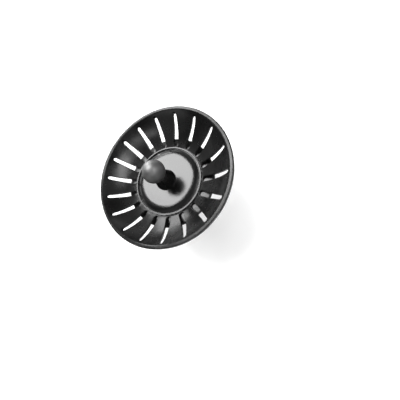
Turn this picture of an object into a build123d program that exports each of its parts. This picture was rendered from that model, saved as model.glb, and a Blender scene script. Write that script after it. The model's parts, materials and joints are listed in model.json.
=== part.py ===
"""Basket strainer plug for a kitchen sink, with a ball knob and a ball-catch spindle.

Millimetres, +Z up the spindle axis towards the knob. The origin is on that axis, where the
spindle leaves the clamp nut. The stack from the origin upwards is clamp nut, lock washer,
backing washer, rubber seal, strainer basket, knob. The spindle hangs below the origin and
snaps into the socket of the sink's waste fitting with two sprung balls, at +X and -X.
"""
import os
from math import acos, asin, atan2, cos, degrees, hypot, pi, radians, sin, sqrt

from build123d import *

# Stack along the axis
NUT_HEIGHT = 2.2
LOCK_WASHER_THICKNESS = 0.9
BACKING_WASHER_THICKNESS = 1.0
SEAL_CORE_THICKNESS = 3.7
WALL = 1.5
BOWL_DEPTH = 14.2

# Strainer basket
RIM_RADIUS = 40.0
RIM_HEIGHT = 2.6
RIM_CREST_RADIUS = 38.4
RIM_CORNER_ROUND = 0.6
RIM_UNDERSIDE_ROUND = 0.4
BOWL_MOUTH_RADIUS = 38.0
BOWL_FLOOR_RADIUS = 21.8
BOWL_TURN = 40.0
BEAD_RADIUS = 21.05
BEAD_WIDTH = 1.2
BEAD_HEIGHT = 0.75
BEAD_EDGE_ROUND = 0.35
BOSS_TOP_RADIUS = 15.5
BOSS_FOOT_RADIUS = 20.2
BOSS_RISE = 1.05
SLOT_COUNT = 18
SLOT_INNER_RADIUS = 22.2
SLOT_OUTER_RADIUS = 37.3
SLOT_INNER_WIDTH = 3.0
SLOT_OUTER_WIDTH = 2.1
SLOT_EDGE_ROUND = 0.3

# Stud, clamp nut and washers
STUD_RADIUS = 2.0
STUD_HOLE_RADIUS = 2.1
STUD_CHAMFER = 0.4
NUT_ACROSS_FLATS = 7.0
NUT_CORNER_CHAMFER = 0.35
LOCK_WASHER_RADIUS = 3.8
LOCK_WASHER_GAP = 0.7
LOCK_WASHER_GAP_SLANT = 20.0
BACKING_WASHER_RADIUS = 21.3
BACKING_WASHER_EDGE_ROUND = 0.4

# Rubber seal
SEAL_SHOULDER_RADIUS = 20.5
SEAL_LIP_RADIUS = 28.4
SEAL_LIP_SECTION_RADIUS = 1.0
SEAL_LIP_RISE = 2.6
SEAL_SEAT_RADIUS = 22.0
SEAL_GROOVE_DEPTH = 2.0
SEAL_GROOVE_FLOOR_WIDTH = 2.0
SEAL_GROOVE_SLOPE_WIDTH = 0.4
SEAL_CORNER_ROUND = 0.3

# Knob
BALL_RADIUS = 6.4
BALL_HEIGHT_OVER_BOSS = 15.0
KNOB_NECK_RADIUS = 3.9
KNOB_NECK_ROUND = 1.2
KNOB_FOOT_RADIUS = 6.4
KNOB_FOOT_EDGE = 0.6
KNOB_INSERT_RADIUS = 2.8
KNOB_INSERT_LENGTH = 7.0
KNOB_INSERT_GROOVE = 0.3
KNOB_INSERT_FLUTES = 20
O_RING_SECTION_RADIUS = 0.5
O_RING_RADIUS = 2.55
O_RING_RECESS_RADIUS = 3.2
O_RING_RECESS_DEPTH = 1.02

# Spindle and its ball catch
SPINDLE_RADIUS = 3.2
SPINDLE_LENGTH = 24.4
SPINDLE_TIP_CHAMFER = 0.7
JOURNAL_LENGTH = 6.6
JOURNAL_GROOVE_WIDTH = 0.6
JOURNAL_GROOVE_DEPTH = 0.3
CATCH_DEPTH = 9.0
CATCH_BALL_RADIUS = 1.5875
CATCH_BORE_RADIUS = 1.62
CATCH_MOUTH_RADIUS = 1.45
CATCH_LIP_START = 2.95
CATCH_BALL_PLAY = 0.03
SPRING_WIRE_RADIUS = 0.15
SPRING_MEAN_RADIUS = 1.3
SPRING_TURNS = 2.5
SPRING_END_PLAY = 0.03

# Heights that follow from the stack
backing_washer_z = NUT_HEIGHT + LOCK_WASHER_THICKNESS
seal_seat_z = backing_washer_z + BACKING_WASHER_THICKNESS
basket_z = seal_seat_z + SEAL_CORE_THICKNESS
floor_z = basket_z + WALL
boss_z = floor_z + BOSS_RISE
rim_z = floor_z + BOWL_DEPTH
ball_z = boss_z + BALL_HEIGHT_OVER_BOSS
insert_z = ball_z - KNOB_INSERT_LENGTH / 2
stud_top_z = insert_z + KNOB_INSERT_LENGTH - STUD_CHAMFER

# The catch balls rest against the lips of their bore, a little apart from them
lip_to_ball = sqrt(CATCH_BALL_RADIUS**2 - CATCH_MOUTH_RADIUS**2)
catch_ball_x = CATCH_LIP_START - lip_to_ball - CATCH_BALL_PLAY


def turned(section):
    """Solid of revolution about Z of a section drawn in the XZ plane."""
    return revolve(section, Axis.Z)


def section_of(*curves):
    """Section in the XZ plane, bounded by curves given as (radius, height)."""
    return make_face(Plane.XZ * (Curve() + list(curves)))


def outlined(*points):
    """Section in the XZ plane with straight sides between (radius, height) points."""
    return make_face(Plane.XZ * Polyline(*points, close=True))


def rounded(section, corner, radius):
    """Round the corner of a section that is nearest to a (radius, height) point."""
    nearest = section.vertices().sort_by_distance((corner[0], 0, corner[1]))[0]
    return fillet(nearest, radius)


def ring(inner_radius, outer_radius, bottom_z, top_z):
    """Flat ring between two heights."""
    return turned(
        outlined(
            (inner_radius, bottom_z),
            (outer_radius, bottom_z),
            (outer_radius, top_z),
            (inner_radius, top_z),
        )
    )


class BowlWall:
    """Round wall of the bowl. Both of its faces are arcs about one centre, in a section."""

    def __init__(self):
        self.mouth_z = rim_z - (RIM_CREST_RADIUS - BOWL_MOUTH_RADIUS)
        run = BOWL_MOUTH_RADIUS - BOWL_FLOOR_RADIUS
        rise = self.mouth_z - floor_z
        self.inner = hypot(run, rise) / (2 * sin(radians(BOWL_TURN / 2)))
        self.outer = self.inner + WALL
        self.floor_slope = degrees(atan2(rise, run)) - BOWL_TURN / 2
        self.mouth_slope = self.floor_slope + BOWL_TURN
        self.centre_r = BOWL_FLOOR_RADIUS - self.inner * sin(radians(self.floor_slope))
        self.centre_z = floor_z + self.inner * cos(radians(self.floor_slope))

    def point(self, radius, slope):
        """Point of a face where its slope is this many degrees."""
        turn = radians(slope)
        return (self.centre_r + radius * sin(turn), self.centre_z - radius * cos(turn))

    def slope_at(self, radius, z):
        """Slope in degrees of a face at a height."""
        return degrees(acos((self.centre_z - z) / radius))

    def arc(self, radius, first_slope, last_slope):
        """Arc of a face between two slopes."""
        middle = self.point(radius, (first_slope + last_slope) / 2)
        return ThreePointArc(self.point(radius, first_slope), middle, self.point(radius, last_slope))


def slot_cutter():
    """Upright slot along +X, tapering outwards, with round ends."""
    inner_end = SLOT_INNER_WIDTH / 2
    outer_end = SLOT_OUTER_WIDTH / 2
    inner_x = SLOT_INNER_RADIUS + inner_end
    outer_x = SLOT_OUTER_RADIUS - outer_end
    taper = asin((inner_end - outer_end) / (outer_x - inner_x))
    inner_side = (inner_x + inner_end * sin(taper), inner_end * cos(taper))
    outer_side = (outer_x + outer_end * sin(taper), outer_end * cos(taper))
    outline = Curve() + [
        Line(inner_side, outer_side),
        ThreePointArc(outer_side, (SLOT_OUTER_RADIUS, 0), (outer_side[0], -outer_side[1])),
        Line((outer_side[0], -outer_side[1]), (inner_side[0], -inner_side[1])),
        ThreePointArc((inner_side[0], -inner_side[1]), (SLOT_INNER_RADIUS, 0), inner_side),
    ]
    return extrude(make_face(outline), rim_z)


def strainer_basket():
    """Moulded bowl with a raised centre boss, a bead around it, slots and a thick rim."""
    wall = BowlWall()
    ledge_z = rim_z - RIM_HEIGHT
    crease = wall.point(wall.outer, wall.slope_at(wall.outer, ledge_z))
    underside_edge = wall.point(wall.outer, wall.slope_at(wall.outer, basket_z))
    section = section_of(
        Line((STUD_HOLE_RADIUS, basket_z), (STUD_HOLE_RADIUS, boss_z)),
        Line((STUD_HOLE_RADIUS, boss_z), (BOSS_TOP_RADIUS, boss_z)),
        TangentArc((BOSS_TOP_RADIUS, boss_z), (BOSS_FOOT_RADIUS, floor_z), tangent=(1, 0)),
        Line((BOSS_FOOT_RADIUS, floor_z), (BOWL_FLOOR_RADIUS, floor_z)),
        wall.arc(wall.inner, wall.floor_slope, wall.mouth_slope),
        Line((BOWL_MOUTH_RADIUS, wall.mouth_z), (RIM_CREST_RADIUS, rim_z)),
        Line((RIM_CREST_RADIUS, rim_z), (RIM_RADIUS, rim_z)),
        Line((RIM_RADIUS, rim_z), (RIM_RADIUS, ledge_z)),
        Line((RIM_RADIUS, ledge_z), crease),
        wall.arc(wall.outer, wall.slope_at(wall.outer, ledge_z), wall.slope_at(wall.outer, basket_z)),
        Line(underside_edge, (STUD_HOLE_RADIUS, basket_z)),
    )
    section = rounded(section, (RIM_RADIUS, rim_z), RIM_CORNER_ROUND)
    section = rounded(section, (RIM_RADIUS, ledge_z), RIM_UNDERSIDE_ROUND)
    half_bead = BEAD_WIDTH / 2
    bead = ring(BEAD_RADIUS - half_bead, BEAD_RADIUS + half_bead, basket_z + WALL / 2, floor_z + BEAD_HEIGHT)
    bead = fillet(bead.edges().filter_by(GeomType.CIRCLE).group_by(Axis.Z)[-1], BEAD_EDGE_ROUND)
    bowl = turned(section) + bead
    cutters = PolarLocations(0, SLOT_COUNT) * slot_cutter()
    slotted = bowl - cutters
    slot_edges = new_edges(bowl, *cutters, combined=slotted).filter_by(Axis.Z, reverse=True)
    return fillet(slot_edges, SLOT_EDGE_ROUND)


def rubber_seal():
    """Rubber disc with a full-round lip, and a groove between the lip and the washer's seat."""
    lip_centre = (SEAL_LIP_RADIUS - SEAL_LIP_SECTION_RADIUS, seal_seat_z + SEAL_LIP_RISE)
    lip_bottom = (lip_centre[0], lip_centre[1] - SEAL_LIP_SECTION_RADIUS)
    to_shoulder = (lip_centre[0] - SEAL_SHOULDER_RADIUS, basket_z - lip_centre[1])
    tangent_turn = asin(SEAL_LIP_SECTION_RADIUS / hypot(*to_shoulder))
    normal = pi / 2 - atan2(to_shoulder[1], to_shoulder[0]) + tangent_turn
    lip_top = (
        lip_centre[0] + SEAL_LIP_SECTION_RADIUS * cos(normal),
        lip_centre[1] + SEAL_LIP_SECTION_RADIUS * sin(normal),
    )
    groove_z = seal_seat_z + SEAL_GROOVE_DEPTH
    groove_start = SEAL_SEAT_RADIUS + SEAL_GROOVE_SLOPE_WIDTH
    groove_end = groove_start + SEAL_GROOVE_FLOOR_WIDTH
    lip_start = (groove_end + 2 * SEAL_GROOVE_SLOPE_WIDTH, lip_bottom[1])
    section = section_of(
        Line((STUD_RADIUS, seal_seat_z), (SEAL_SEAT_RADIUS, seal_seat_z)),
        Line((SEAL_SEAT_RADIUS, seal_seat_z), (groove_start, groove_z)),
        Line((groove_start, groove_z), (groove_end, groove_z)),
        Line((groove_end, groove_z), lip_start),
        Line(lip_start, lip_bottom),
        ThreePointArc(lip_bottom, (SEAL_LIP_RADIUS, lip_centre[1]), lip_top),
        Line(lip_top, (SEAL_SHOULDER_RADIUS, basket_z)),
        Line((SEAL_SHOULDER_RADIUS, basket_z), (STUD_RADIUS, basket_z)),
        Line((STUD_RADIUS, basket_z), (STUD_RADIUS, seal_seat_z)),
    )
    seat_edge = (SEAL_SEAT_RADIUS, seal_seat_z)
    for corner in (seat_edge, (groove_start, groove_z), (groove_end, groove_z), lip_start):
        section = rounded(section, corner, SEAL_CORNER_ROUND)
    return turned(section)


def backing_washer():
    """Steel disc that spreads the nut's load over the seal."""
    disc = ring(STUD_HOLE_RADIUS, BACKING_WASHER_RADIUS, backing_washer_z, seal_seat_z)
    outer_edges = disc.edges().filter_by(GeomType.CIRCLE).group_by(SortBy.RADIUS)[-1]
    return fillet(outer_edges, BACKING_WASHER_EDGE_ROUND)


def lock_washer():
    """Split spring washer, pressed flat under the nut."""
    washer = ring(STUD_HOLE_RADIUS, LOCK_WASHER_RADIUS, NUT_HEIGHT, backing_washer_z)
    middle = (LOCK_WASHER_RADIUS / 2, 0, 0)
    slit = Pos(middle) * Box(LOCK_WASHER_RADIUS, LOCK_WASHER_GAP, 3 * LOCK_WASHER_THICKNESS)
    middle_z = (NUT_HEIGHT + backing_washer_z) / 2
    return washer - Pos(0, 0, middle_z) * Rot(LOCK_WASHER_GAP_SLANT, 0, 90) * slit


def clamp_nut():
    """Thin hexagon nut with chamfered corners, run up the stud against the washers."""
    hexagon = extrude(RegularPolygon(NUT_ACROSS_FLATS / 2, 6, major_radius=False), NUT_HEIGHT)
    corner_radius = NUT_ACROSS_FLATS / 2 / cos(pi / 6)
    face_radius = NUT_ACROSS_FLATS / 2
    blank = turned(
        outlined(
            (STUD_RADIUS, 0),
            (face_radius, 0),
            (corner_radius, NUT_CORNER_CHAMFER),
            (corner_radius, NUT_HEIGHT - NUT_CORNER_CHAMFER),
            (face_radius, NUT_HEIGHT),
            (STUD_RADIUS, NUT_HEIGHT),
        )
    )
    return hexagon & blank


def spindle():
    """Polished rod with a thinner stud above it and a cross bore for the ball catch.

    A shallow groove ends the journal, the stretch that turns in the waste fitting's socket.
    """
    rod = turned(
        outlined(
            (0, -SPINDLE_LENGTH),
            (SPINDLE_RADIUS - SPINDLE_TIP_CHAMFER, -SPINDLE_LENGTH),
            (SPINDLE_RADIUS, SPINDLE_TIP_CHAMFER - SPINDLE_LENGTH),
            (SPINDLE_RADIUS, 0),
            (STUD_RADIUS, 0),
            (STUD_RADIUS, stud_top_z - STUD_CHAMFER),
            (STUD_RADIUS - STUD_CHAMFER, stud_top_z),
            (0, stud_top_z),
        )
    )
    groove = ring(
        SPINDLE_RADIUS - JOURNAL_GROOVE_DEPTH,
        SPINDLE_RADIUS + JOURNAL_GROOVE_DEPTH,
        -JOURNAL_LENGTH - JOURNAL_GROOVE_WIDTH,
        -JOURNAL_LENGTH,
    )
    across = Pos(0, 0, -CATCH_DEPTH) * Rot(0, 90, 0)
    ball_bore = across * Cylinder(CATCH_BORE_RADIUS, 2 * CATCH_LIP_START)
    ball_mouths = across * Cylinder(CATCH_MOUTH_RADIUS, 3 * SPINDLE_RADIUS)
    return rod - groove - ball_bore - ball_mouths


def catch_ball(side):
    """Steel ball of the catch, on side +1 or -1 of the spindle."""
    return Pos(side * catch_ball_x, 0, -CATCH_DEPTH) * Sphere(CATCH_BALL_RADIUS)


def catch_spring():
    """Coil spring that presses the two catch balls apart."""
    reach = CATCH_BALL_RADIUS + SPRING_WIRE_RADIUS
    end_x = catch_ball_x - sqrt(reach**2 - SPRING_MEAN_RADIUS**2) - SPRING_END_PLAY
    coil = Helix(2 * end_x / SPRING_TURNS, 2 * end_x, SPRING_MEAN_RADIUS)
    wire = Plane(origin=coil @ 0, z_dir=coil % 0) * Circle(SPRING_WIRE_RADIUS)
    return Pos(-end_x, 0, -CATCH_DEPTH) * Rot(0, 90, 0) * sweep(wire, path=coil, is_frenet=True)


def knob():
    """Ball on a tapered neck that widens to a round foot, with a recess under it for the O-ring."""
    foot_edge = (KNOB_FOOT_RADIUS, boss_z + KNOB_FOOT_EDGE)
    ball_bottom = (KNOB_NECK_RADIUS, ball_z - sqrt(BALL_RADIUS**2 - KNOB_NECK_RADIUS**2))
    recess_z = boss_z + O_RING_RECESS_DEPTH
    insert_top_z = insert_z + KNOB_INSERT_LENGTH
    section = section_of(
        Line((O_RING_RECESS_RADIUS, boss_z), (KNOB_FOOT_RADIUS, boss_z)),
        Line((KNOB_FOOT_RADIUS, boss_z), foot_edge),
        Line(foot_edge, ball_bottom),
        ThreePointArc(ball_bottom, (BALL_RADIUS, ball_z), (0, ball_z + BALL_RADIUS)),
        Line((0, ball_z + BALL_RADIUS), (0, insert_top_z)),
        Line((0, insert_top_z), (KNOB_INSERT_RADIUS, insert_top_z)),
        Line((KNOB_INSERT_RADIUS, insert_top_z), (KNOB_INSERT_RADIUS, insert_z)),
        Line((KNOB_INSERT_RADIUS, insert_z), (STUD_HOLE_RADIUS, insert_z)),
        Line((STUD_HOLE_RADIUS, insert_z), (STUD_HOLE_RADIUS, recess_z)),
        Line((STUD_HOLE_RADIUS, recess_z), (O_RING_RECESS_RADIUS, recess_z)),
        Line((O_RING_RECESS_RADIUS, recess_z), (O_RING_RECESS_RADIUS, boss_z)),
    )
    section = rounded(section, ball_bottom, KNOB_NECK_ROUND)
    return turned(section)


def knob_insert():
    """Fluted brass bush moulded into the ball, threaded for the stud."""
    half = KNOB_INSERT_LENGTH / 2
    groove = KNOB_INSERT_GROOVE
    bush = turned(
        outlined(
            (STUD_RADIUS, -half),
            (KNOB_INSERT_RADIUS, -half),
            (KNOB_INSERT_RADIUS, -2 * groove),
            (KNOB_INSERT_RADIUS - groove, -groove),
            (KNOB_INSERT_RADIUS - groove, groove),
            (KNOB_INSERT_RADIUS, 2 * groove),
            (KNOB_INSERT_RADIUS, half),
            (STUD_RADIUS, half),
        )
    )
    flute = Rot(0, 0, 45) * Box(groove, groove, 2 * KNOB_INSERT_LENGTH)
    return Pos(0, 0, ball_z) * (bush - PolarLocations(KNOB_INSERT_RADIUS, KNOB_INSERT_FLUTES) * flute)


def spindle_o_ring():
    """Rubber ring around the stud, under the knob's foot."""
    return Pos(0, 0, boss_z + O_RING_SECTION_RADIUS) * Torus(O_RING_RADIUS, O_RING_SECTION_RADIUS)


NODES = {
    "strainer_basket": strainer_basket(),
    "rubber_seal": rubber_seal(),
    "backing_washer": backing_washer(),
    "lock_washer": lock_washer(),
    "clamp_nut": clamp_nut(),
    "spindle": spindle(),
    "catch_ball_right": catch_ball(1),
    "catch_ball_left": catch_ball(-1),
    "catch_spring": catch_spring(),
    "knob": knob(),
    "knob_insert": knob_insert(),
    "spindle_o_ring": spindle_o_ring(),
}

os.makedirs("parts", exist_ok=True)
for name, solid in NODES.items():
    export_step(solid, f"parts/{name}.step")
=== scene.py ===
"""Looks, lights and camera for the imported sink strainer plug."""
import json
from math import cos, pi, radians, sin, tan

import bpy
from mathutils import Matrix, Vector


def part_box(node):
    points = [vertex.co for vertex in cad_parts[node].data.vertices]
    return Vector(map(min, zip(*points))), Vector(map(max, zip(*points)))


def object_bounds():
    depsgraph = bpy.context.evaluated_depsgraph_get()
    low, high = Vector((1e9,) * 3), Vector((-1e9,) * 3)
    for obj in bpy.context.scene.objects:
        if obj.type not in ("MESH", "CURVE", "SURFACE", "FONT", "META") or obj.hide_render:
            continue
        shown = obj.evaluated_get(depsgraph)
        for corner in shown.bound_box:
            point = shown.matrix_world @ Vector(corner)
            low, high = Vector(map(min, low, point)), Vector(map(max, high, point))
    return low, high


MM = 0.001

# Camera: where it stands, the point on its axis, its roll and its lens
CAMERA_PLACE = (-0.0016, -0.0587, 0.1055)
CAMERA_AIM = (-0.008, -0.0114, 0.0235)
CAMERA_ROLL = radians(64.3)
CAMERA_LENS = 16.61
CAMERA_SHIFT = (0.094, -0.011)

# Softboxes, each this far from the origin: name, bearing from +X and height above the
# horizon in degrees, width and height as seen from the origin in degrees, radiance
LIGHT_DISTANCE = 1.5
SOFTBOXES = (
    ("key", 79, 60, 66, 30, 13.0),
    ("low_key", 71, 18, 24, 40, 8.0),
    ("front_strip", 296, 52, 60, 22, 5.5),
    ("side_strip", 225, 46, 60, 12, 2.5),
)

# Dark gaps in the surroundings, evenly spaced in bearing, that give the steel its streaks
DARK_GAPS = 5

# Strength of the world light: by height in the sky, and by the wave that makes the dark gaps
SKY_FADE = {"From Min": 0.08, "From Max": 0.3, "To Min": 1.0, "To Max": 0.3}
GAP_FADE = {"From Min": 0.2, "From Max": 0.6, "To Min": 1.0, "To Max": 0.08}

FLOOR_RADIUS = 1.2
FLOOR_WHITE = 0.9
FLOOR_GLOW = 0.18
BACKDROP_RADIUS = 3.0

# Where the grained top of the basket's boss ends: a radius, and a depth under the knob's foot
BOSS_EDGE = (18.5 * MM, 19.5 * MM)
BOSS_DEPTH = (1.6 * MM, 1.2 * MM)
BOSS_ROUGHNESS = 0.16

# The knob's neck ends this many ball widths under its top, and changes finish over this height:
# roughness and coat, and a colour painted darker on the neck as painted shade and lighter on the ball
# as painted light
NECK_TOP = 0.93
NECK_BLEND = 0.6 * MM
NECK_ROUGHNESS = 0.16

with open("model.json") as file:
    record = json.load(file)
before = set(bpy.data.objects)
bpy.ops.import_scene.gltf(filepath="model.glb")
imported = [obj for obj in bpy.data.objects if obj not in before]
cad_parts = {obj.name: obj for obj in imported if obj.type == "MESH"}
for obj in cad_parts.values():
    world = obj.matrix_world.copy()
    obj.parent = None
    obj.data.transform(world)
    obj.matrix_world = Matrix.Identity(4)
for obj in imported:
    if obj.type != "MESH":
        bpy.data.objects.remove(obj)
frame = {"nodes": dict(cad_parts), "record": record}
cad_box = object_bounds()
nodes = frame["nodes"]


# ---------------------------------------------------------------- shader helpers

class Shader:
    """Node tree of one material, with short calls for the nodes that the materials share."""

    def __init__(self, name):
        self.material = bpy.data.materials.new(name)
        self.material.use_nodes = True
        self.tree = self.material.node_tree
        self.tree.nodes.clear()
        self.surface = self.add("ShaderNodeBsdfPrincipled")
        output = self.add("ShaderNodeOutputMaterial")
        self.link(self.surface.outputs["BSDF"], output.inputs["Surface"])
        self.place = self.add("ShaderNodeTexCoord").outputs["Object"]

    def add(self, kind, **values):
        node = self.tree.nodes.new(kind)
        for key, value in values.items():
            setattr(node, key, value)
        return node

    def link(self, source, target):
        self.tree.links.new(source, target)

    def put(self, target, value):
        """Sets a socket to a number or colour, or links it to another socket."""
        if isinstance(value, bpy.types.NodeSocket):
            self.link(value, target)
        else:
            target.default_value = value

    def math(self, operation, a, b=0.0):
        node = self.add("ShaderNodeMath", operation=operation)
        self.put(node.inputs[0], a)
        self.put(node.inputs[1], b)
        return node.outputs[0]

    def noise(self, scale, detail=3.0, roughness=0.5, place=None):
        node = self.add("ShaderNodeTexNoise")
        self.put(node.inputs["Vector"], place or self.place)
        node.inputs["Scale"].default_value = scale
        node.inputs["Detail"].default_value = detail
        node.inputs["Roughness"].default_value = roughness
        return node.outputs["Fac"]

    def range(self, value, low, high, to_low, to_high, smooth=False):
        node = self.add("ShaderNodeMapRange", interpolation_type="SMOOTHSTEP" if smooth else "LINEAR")
        self.put(node.inputs["Value"], value)
        limits = {"From Min": low, "From Max": high, "To Min": to_low, "To Max": to_high}
        for key, number in limits.items():
            self.put(node.inputs[key], number)
        return node.outputs["Result"]

    def blend(self, factor, a, b):
        """Mix of two colours by a factor."""
        node = self.add("ShaderNodeMix", data_type="RGBA")
        self.put(node.inputs["Factor"], factor)
        self.put(node.inputs[6], a)
        self.put(node.inputs[7], b)
        return node.outputs[2]

    def polar(self):
        """Radius from the axis, angle around it and height, of the shaded point."""
        split = self.add("ShaderNodeSeparateXYZ")
        self.link(self.place, split.inputs[0])
        x, y, z = split.outputs
        squares = self.math("ADD", self.math("MULTIPLY", x, x), self.math("MULTIPLY", y, y))
        radius = self.math("SQRT", squares)
        return radius, self.math("ARCTAN2", y, x), z

    def vector(self, x, y, z):
        node = self.add("ShaderNodeCombineXYZ")
        for socket, value in zip(node.inputs, (x, y, z)):
            self.put(socket, value)
        return node.outputs[0]

    def bump(self, height, depth, before=None):
        """Normal of a relief whose height runs from 0 to 1 over this depth in metres."""
        node = self.add("ShaderNodeBump")
        node.inputs["Distance"].default_value = depth
        self.put(node.inputs["Strength"], 1.0)
        self.put(node.inputs["Height"], height)
        if before is not None:
            self.link(before, node.inputs["Normal"])
        return node.outputs["Normal"]


def grey(value):
    return (value, value, value, 1.0)


# ---------------------------------------------------------------- materials

def basket_plastic():
    """Black moulded plastic: glossy on the wall, finely grained on the centre boss."""
    s = Shader("basket_plastic")
    radius, angle, height = s.polar()
    boss_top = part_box("knob")[0].z
    on_boss = s.math(
        "MULTIPLY",
        s.range(radius, *BOSS_EDGE, 1.0, 0.0, smooth=True),
        s.range(height, *(boss_top - depth for depth in BOSS_DEPTH), 0.0, 1.0, smooth=True),
    )
    mottle = s.noise(140.0, 4.0, 0.6)
    around = s.math("MULTIPLY", angle, 1.2)
    outwards = s.math("MULTIPLY", radius, 60.0)
    flow = s.noise(3.0, 2.0, 0.5, s.vector(around, outwards, 0.0))
    s.link(s.blend(mottle, grey(0.004), grey(0.007)), s.surface.inputs["Base Color"])
    wall_roughness = s.math(
        "ADD", s.range(mottle, 0.3, 0.7, 0.2, 0.28), s.range(flow, 0.3, 0.7, -0.02, 0.05)
    )
    roughness = s.add("ShaderNodeMix", data_type="FLOAT")
    s.link(on_boss, roughness.inputs["Factor"])
    s.link(wall_roughness, roughness.inputs[2])
    roughness.inputs[3].default_value = BOSS_ROUGHNESS
    s.link(roughness.outputs[0], s.surface.inputs["Roughness"])
    grain = s.noise(4200.0, 2.0, 0.6)
    relief = s.math("MULTIPLY", grain, s.range(on_boss, 0.0, 1.0, 0.06, 1.0))
    s.link(s.bump(relief, 0.012 * MM, s.bump(flow, 0.04 * MM)), s.surface.inputs["Normal"])
    s.surface.inputs["Specular IOR Level"].default_value = 0.5
    return s.material


def knob_plastic():
    """Black moulded plastic: a ball with a soft satin coat, on a glossier neck."""
    s = Shader("knob_plastic")
    low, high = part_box("knob")
    ball_width = high.x - low.x
    height = s.polar()[2]
    neck_top = high.z - NECK_TOP * ball_width
    on_ball = s.range(height, neck_top - NECK_BLEND, neck_top + NECK_BLEND, 0.0, 1.0, smooth=True)
    mottle = s.noise(220.0, 4.0, 0.6)
    # Painted light: the ball's base colour is painted lighter than the neck's (0.026 to 0.034 against
    # 0.003), a painted highlight for the light the ball catches. The neck's darker colour is painted
    # shade under the ball. The mottle itself is the plastic's own random tone.
    ball_painted_lighter = s.blend(mottle, grey(0.026), grey(0.034))
    s.link(s.blend(on_ball, grey(0.003), ball_painted_lighter), s.surface.inputs["Base Color"])
    satin = s.range(mottle, 0.3, 0.7, 0.42, 0.5)
    extra = s.math("MULTIPLY", on_ball, s.math("SUBTRACT", satin, NECK_ROUGHNESS))
    s.link(s.math("ADD", NECK_ROUGHNESS, extra), s.surface.inputs["Roughness"])
    s.link(s.bump(s.noise(3500.0, 2.0, 0.6), 0.006 * MM), s.surface.inputs["Normal"])
    s.surface.inputs["Specular IOR Level"].default_value = 1.0
    s.link(on_ball, s.surface.inputs["Coat Weight"])
    s.surface.inputs["Coat Roughness"].default_value = 0.5
    s.surface.inputs["Coat IOR"].default_value = 1.6
    return s.material


def seal_rubber():
    """Black rubber, matt with a faint bloom."""
    s = Shader("seal_rubber")
    bloom = s.noise(90.0, 5.0, 0.65)
    s.link(s.blend(bloom, grey(0.005), grey(0.009)), s.surface.inputs["Base Color"])
    s.link(s.range(bloom, 0.3, 0.7, 0.2, 0.27), s.surface.inputs["Roughness"])
    s.link(s.bump(s.noise(2600.0, 3.0, 0.6), 0.012 * MM), s.surface.inputs["Normal"])
    return s.material


def turned_steel(name, tint, smooth, rough, line_depth):
    """Bright steel with fine turning lines around the axis."""
    s = Shader(name)
    radius, angle, height = s.polar()
    s.surface.inputs["Metallic"].default_value = 1.0
    turning = s.vector(
        s.math("MULTIPLY", radius, 9000.0),
        s.math("MULTIPLY", angle, 1.5),
        s.math("MULTIPLY", height, 9000.0),
    )
    lines = s.noise(1.0, 4.0, 0.7, turning)
    cloud = s.noise(160.0, 4.0, 0.6)
    s.link(s.blend(cloud, tint, [0.9 * v for v in tint[:3]] + [1.0]), s.surface.inputs["Base Color"])
    s.link(s.range(s.math("ADD", lines, cloud), 0.7, 1.3, smooth, rough), s.surface.inputs["Roughness"])
    s.link(s.bump(lines, line_depth), s.surface.inputs["Normal"])
    return s.material


MATERIALS = {
    "basket_plastic": basket_plastic(),
    "knob_plastic": knob_plastic(),
    "seal_rubber": seal_rubber(),
    "washer_steel": turned_steel("washer_steel", (0.66, 0.66, 0.67, 1.0), 0.12, 0.24, 0.002 * MM),
    "fastener_steel": turned_steel("fastener_steel", (0.58, 0.58, 0.6, 1.0), 0.2, 0.34, 0.003 * MM),
    "spindle_steel": turned_steel("spindle_steel", (0.66, 0.66, 0.67, 1.0), 0.08, 0.16, 0.0015 * MM),
    "ball_steel": turned_steel("ball_steel", (0.72, 0.72, 0.73, 1.0), 0.03, 0.07, 0.0003 * MM),
    "insert_brass": turned_steel("insert_brass", (0.76, 0.55, 0.26, 1.0), 0.2, 0.32, 0.003 * MM),
}

for part in frame["record"]["subparts"]:
    cad_object = nodes[part["node"]]
    cad_object.data.materials.clear()
    cad_object.data.materials.append(MATERIALS[part["material_slot"]])


# ---------------------------------------------------------------- floor, light and camera

def glowing_white(name, base, glow):
    """Matt white that also gives off light."""
    s = Shader(name)
    s.surface.inputs["Base Color"].default_value = grey(base)
    s.surface.inputs["Roughness"].default_value = 1.0
    s.surface.inputs["Specular IOR Level"].default_value = 0.0
    s.surface.inputs["Emission Color"].default_value = grey(1.0)
    s.surface.inputs["Emission Strength"].default_value = glow
    return s.material


def floor():
    """Plain white light table under the spindle's tip, left out of reflections."""
    bpy.ops.mesh.primitive_circle_add(
        vertices=96, radius=FLOOR_RADIUS, fill_type="NGON", location=(0, 0, cad_box[0].z)
    )
    table = bpy.context.object
    table.name = "floor"
    table.data.materials.append(glowing_white("floor_white", FLOOR_WHITE, FLOOR_GLOW))
    table.visible_glossy = False


def backdrop():
    """White surroundings that only the camera sees, so that the object reflects the lights alone."""
    bpy.ops.mesh.primitive_uv_sphere_add(segments=48, ring_count=24, radius=BACKDROP_RADIUS)
    dome = bpy.context.object
    dome.name = "backdrop"
    dome.data.materials.append(glowing_white("backdrop_white", 0.0, 1.0))
    dome.visible_diffuse = False
    dome.visible_glossy = False
    dome.visible_transmission = False
    dome.visible_shadow = False


def softbox(name, bearing, height, seen_width, seen_height, radiance):
    """Rectangular soft light that faces the origin."""
    light = bpy.data.lights.new(name, "AREA")
    light.shape = "RECTANGLE"
    light.size = 2 * LIGHT_DISTANCE * tan(radians(seen_width * cos(radians(height)) / 2))
    light.size_y = 2 * LIGHT_DISTANCE * tan(radians(seen_height / 2))
    light.energy = radiance * pi * light.size * light.size_y
    turn, lift = radians(bearing), radians(height)
    away = Vector((cos(turn) * cos(lift), sin(turn) * cos(lift), sin(lift)))
    lamp = bpy.data.objects.new(name, light)
    lamp.location = LIGHT_DISTANCE * away
    lamp.rotation_euler = away.to_track_quat("Z", "Y").to_euler()
    lamp.visible_camera = False
    bpy.context.scene.collection.objects.link(lamp)


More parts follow.
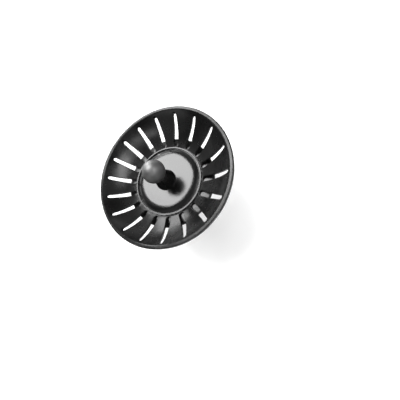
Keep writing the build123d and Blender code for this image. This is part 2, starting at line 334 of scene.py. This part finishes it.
def studio_air():
    """World light: white at the horizon and below it, dim overhead, with dark gaps around."""
    world = bpy.data.worlds.new("studio")
    world.use_nodes = True
    tree = world.node_tree

    def math(operation, a, b):
        node = tree.nodes.new("ShaderNodeMath")
        node.operation = operation
        tree.links.new(a, node.inputs[0])
        if isinstance(b, bpy.types.NodeSocket):
            tree.links.new(b, node.inputs[1])
        else:
            node.inputs[1].default_value = b
        return node.outputs[0]

    def fade(value, limits):
        node = tree.nodes.new("ShaderNodeMapRange")
        node.interpolation_type = "SMOOTHSTEP"
        for key, number in limits.items():
            node.inputs[key].default_value = number
        tree.links.new(value, node.inputs["Value"])
        return node.outputs["Result"]

    place = tree.nodes.new("ShaderNodeTexCoord")
    split = tree.nodes.new("ShaderNodeSeparateXYZ")
    tree.links.new(place.outputs["Generated"], split.inputs[0])
    x, y, z = split.outputs
    ripple = math("COSINE", math("MULTIPLY", math("ARCTAN2", y, x), DARK_GAPS), 0.0)
    strength = math("MULTIPLY", fade(z, SKY_FADE), fade(ripple, GAP_FADE))
    tree.links.new(strength, tree.nodes["Background"].inputs["Strength"])
    tree.nodes["Background"].inputs["Color"].default_value = grey(1.0)
    bpy.context.scene.world = world


def camera(place, aim, roll, lens, shift):
    """Camera at a place, looking at a point, rolled clockwise about its line of sight."""
    data = bpy.data.cameras.new("camera")
    data.sensor_width = 36.0
    data.lens = lens
    data.shift_x, data.shift_y = shift
    data.clip_start = 0.005
    eye = bpy.data.objects.new("camera", data)
    look = (Vector(aim) - Vector(place)).to_track_quat("-Z", "Y").to_matrix().to_4x4()
    eye.matrix_world = Matrix.Translation(place) @ look @ Matrix.Rotation(-roll, 4, "Z")
    bpy.context.scene.collection.objects.link(eye)
    bpy.context.scene.camera = eye


floor()
backdrop()
for box in SOFTBOXES:
    softbox(*box)
studio_air()
bpy.context.scene.view_settings.view_transform = "Standard"
camera(CAMERA_PLACE, CAMERA_AIM, CAMERA_ROLL, CAMERA_LENS, CAMERA_SHIFT)
